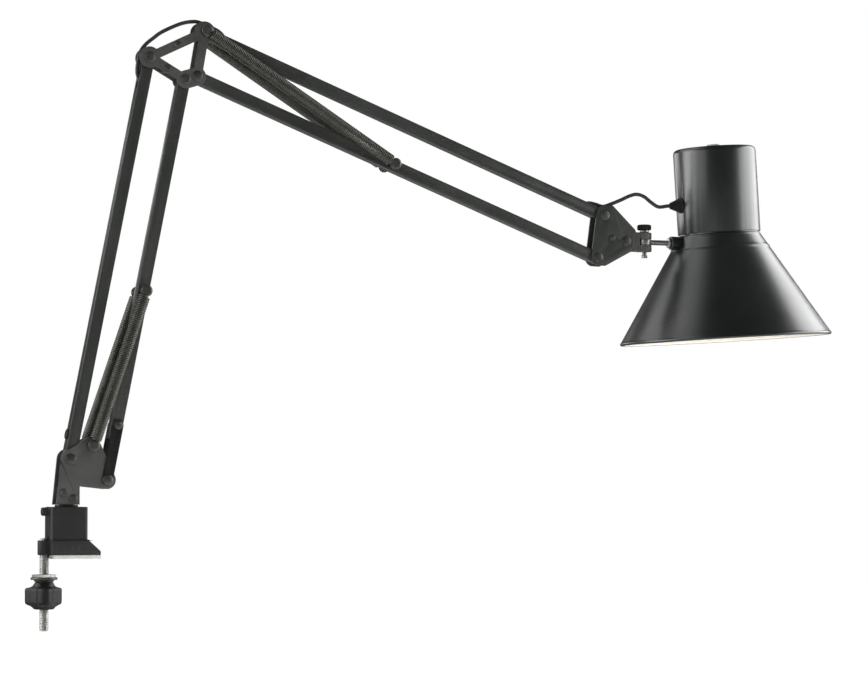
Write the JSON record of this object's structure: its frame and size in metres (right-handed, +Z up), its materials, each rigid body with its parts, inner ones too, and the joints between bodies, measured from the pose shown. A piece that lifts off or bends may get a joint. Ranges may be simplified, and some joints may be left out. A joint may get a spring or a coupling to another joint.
{
  "type": "architect lamp",
  "caption": "Clamp-on desk lamp with two spring-balanced parallelogram arms of square tube and a tilting cone shade on a stem.",
  "frame": {"origin": "on the desk top, where the swivel axis of the arms meets the underside of the clamp's foot pad", "axes": "+Z up from the desk, +X the way the arms reach, +Y across the arms"},
  "size_m": [0.7341, 0.189, 0.5102],
  "materials": {
    "black_paint": "near-black semi-gloss paint on steel tube",
    "shade_paint": "near-black semi-gloss paint on spun aluminium, pale inside",
    "bracket_paint": "dark grey semi-gloss paint on steel plate",
    "black_plastic": "fine-grained black moulding",
    "zinc_steel": "dull zinc plating",
    "spring_steel": "dark drawn spring wire",
    "brass": "dull brass",
    "pad_rubber": "pinkish grey rubber",
    "flex_cover": "smooth dark flexible sheath",
    "porcelain": "white glazed porcelain",
    "white_plastic": "pale glossy moulding",
    "bulb_glass": "opal glass"
  },
  "bodies": {
    "clamp": {"clamp_body": "black_paint", "clamp_rod": "zinc_steel", "foot_pad": "pad_rubber", "socket_bush": "black_plastic"},
    "jaw": {"pressure_disc": "zinc_steel", "disc_pad": "pad_rubber"},
    "clamp_knob": {"clamp_knob": "black_plastic", "knob_insert": "brass"},
    "base_bracket": {"base_plate_near": "bracket_paint", "base_plate_far": "bracket_paint", "swivel_pin": "black_paint", "base_rivets": "zinc_steel", "base_pivot_pins": "zinc_steel", "lower_spring_anchors": "zinc_steel"},
    "rear_bar": {"rear_bar": "black_paint", "rear_bar_plugs": "black_plastic", "flex_lower": "flex_cover", "flex_grommet": "black_plastic"},
    "front_bar": {"front_bar": "black_paint", "front_bar_plugs": "black_plastic", "front_bar_straps": "black_plastic", "strap_rivet": "zinc_steel", "lower_spring_pin": "zinc_steel"},
    "elbow": {"elbow_plate_near": "bracket_paint", "elbow_plate_far": "bracket_paint", "elbow_spacers": "zinc_steel", "elbow_pivot_pins": "zinc_steel", "upper_spring_anchor": "zinc_steel", "flex_elbow": "flex_cover"},
    "top_bar": {"top_bar": "black_paint", "top_bar_plugs": "black_plastic", "flex_upper": "flex_cover"},
    "bottom_bar": {"bottom_bar": "black_paint", "bottom_bar_plugs": "black_plastic", "upper_spring_pin": "zinc_steel"},
    "head_bracket": {"head_plate_near": "bracket_paint", "head_plate_far": "bracket_paint", "head_spacer": "zinc_steel", "head_pivot_pins": "zinc_steel", "flex_head": "flex_cover"},
    "knuckle": {"knuckle": "bracket_paint"},
    "thumb_screw": {"thumb_screw": "zinc_steel", "thumb_knob": "black_plastic"},
    "stem": {"stem": "zinc_steel", "stem_nut": "zinc_steel"},
    "shade": {"shade_cone": "shade_paint", "neck_cover": "shade_paint", "lampholder": "porcelain", "bulb_cap": "brass", "bulb_glass": "bulb_glass", "flex_gland": "black_plastic", "flex_neck": "flex_cover", "switch_body": "black_plastic"},
    "switch_button": {"switch_button": "white_plastic"},
    "lower_eyes": {"lower_spring_eyes": "spring_steel"},
    "lower_coils": {"lower_coils": "spring_steel"},
    "lower_hooks": {"lower_spring_hooks": "spring_steel"},
    "upper_eyes": {"upper_spring_eyes": "spring_steel"},
    "upper_coils": {"upper_coils": "spring_steel"},
    "upper_hooks": {"upper_spring_hooks": "spring_steel"}
  },
  "joints": [
    {"name": "jaw_slide", "type": "slide", "parent": "clamp", "child": "jaw", "axis": [0, 0, 1], "range_m": [-0.01625, 0.0125]},
    {"name": "knob_turn", "type": "hinge", "parent": "jaw", "child": "clamp_knob", "pos_m": [-0.0185, 0, 0], "axis": [0, 0, 1], "range_deg": [-4685, 3605]},
    {"name": "base_swivel", "type": "hinge", "parent": "clamp", "child": "base_bracket", "pos_m": [0, 0, 0], "axis": [0, 0, 1], "continuous": true},
    {"name": "lower_arm", "type": "hinge", "parent": "base_bracket", "child": "rear_bar", "pos_m": [0.0017, 0, 0.0816], "axis": [0, 1, 0], "range_deg": [-20, 35]},
    {"name": "front_bar_turn", "type": "hinge", "parent": "base_bracket", "child": "front_bar", "pos_m": [0.03266, 0, 0.06444], "axis": [0, 1, 0], "range_deg": [-20.5, 35.5]},
    {"name": "elbow_turn", "type": "hinge", "parent": "rear_bar", "child": "elbow", "pos_m": [0.06803, 0, 0.4166], "axis": [0, 1, 0], "range_deg": [-35.5, 20.5], "deforming": ["flex_elbow"]},
    {"name": "upper_arm", "type": "hinge", "parent": "elbow", "child": "top_bar", "pos_m": [0.11585, 0, 0.44013], "axis": [0, 1, 0], "range_deg": [-40, 25]},
    {"name": "bottom_bar_turn", "type": "hinge", "parent": "elbow", "child": "bottom_bar", "pos_m": [0.10945, 0, 0.40267], "axis": [0, 1, 0], "range_deg": [-40.5, 25.5]},
    {"name": "head_bracket_turn", "type": "hinge", "parent": "top_bar", "child": "head_bracket", "pos_m": [0.4853, 0, 0.29757], "axis": [0, 1, 0], "range_deg": [-25.5, 40.5], "deforming": ["flex_head"]},
    {"name": "head_tilt", "type": "hinge", "parent": "head_bracket", "child": "knuckle", "pos_m": [0.50621, 0, 0.27547], "axis": [0, 1, 0], "range_deg": [-40, 50]},
    {"name": "thumb_turn", "type": "hinge", "parent": "knuckle", "child": "thumb_screw", "pos_m": [0.5267, 0, 0.27547], "axis": [0, 0, 1], "range_deg": [0, 90]},
    {"name": "head_swivel", "type": "hinge", "parent": "knuckle", "child": "stem", "pos_m": [0.5267, 0, 0.27547], "axis": [0, 0, 1], "range_deg": [-75, 75]},
    {"name": "shade_roll", "type": "hinge", "parent": "stem", "child": "shade", "pos_m": [0.56671, 0, 0.27547], "axis": [1, 0, 0], "range_deg": [-60, 60]},
    {"name": "switch_press", "type": "slide", "parent": "shade", "child": "switch_button", "axis": [0.0628, 0, -0.998], "range_m": [0, 0.0028], "stiffness_N_per_m": 300},
    {"name": "lower_eye_turn", "type": "hinge", "parent": "base_bracket", "child": "lower_eyes", "pos_m": [0.01934, 0, 0.09287], "axis": [0, 1, 0], "range_deg": [-23.02, 39.91]},
    {"name": "lower_stretch", "type": "slide", "parent": "lower_eyes", "child": "lower_coils", "axis": [0.3268, 0, 0.9451], "range_m": [-0.0093, 0.0159], "deforming": ["lower_coils"]},
    {"name": "lower_hook_turn", "type": "hinge", "parent": "front_bar", "child": "lower_hooks", "pos_m": [0.06368, 0, 0.2211], "axis": [0, 1, 0], "range_deg": [-3.02, 4.91]},
    {"name": "upper_eye_turn", "type": "hinge", "parent": "elbow", "child": "upper_eyes", "pos_m": [0.11585, 0, 0.44013], "axis": [0, 1, 0], "range_deg": [-38.93, 24.52]},
    {"name": "upper_stretch", "type": "slide", "parent": "upper_eyes", "child": "upper_coils", "axis": [0.8491, 0, -0.5282], "range_m": [-0.02578, 0.0163], "deforming": ["upper_coils"]},
    {"name": "upper_hook_turn", "type": "hinge", "parent": "bottom_bar", "child": "upper_hooks", "pos_m": [0.28485, 0, 0.33499], "axis": [0, 1, 0], "range_deg": [-1.48, 2.07]}
  ],
  "couplings": [
    {"joint": "knob_turn", "follows": "jaw_slide", "rad_per_m": 5026.5},
    {"joint": "front_bar_turn", "follows": "lower_arm", "ratio": 1},
    {"joint": "elbow_turn", "follows": "lower_arm", "ratio": -1},
    {"joint": "bottom_bar_turn", "follows": "upper_arm", "ratio": 1},
    {"joint": "head_bracket_turn", "follows": "upper_arm", "ratio": -1},
    {"joint": "lower_eye_turn", "follows": "lower_arm", "ratio": 1.126},
    {"joint": "lower_stretch", "follows": "lower_arm", "m_per_rad": 0.02521},
    {"joint": "lower_hook_turn", "follows": "lower_arm", "ratio": 0.126},
    {"joint": "upper_eye_turn", "follows": "upper_arm", "ratio": 0.9608},
    {"joint": "upper_stretch", "follows": "upper_arm", "m_per_rad": 0.03621},
    {"joint": "upper_hook_turn", "follows": "upper_arm", "ratio": -0.0392}
  ]
}
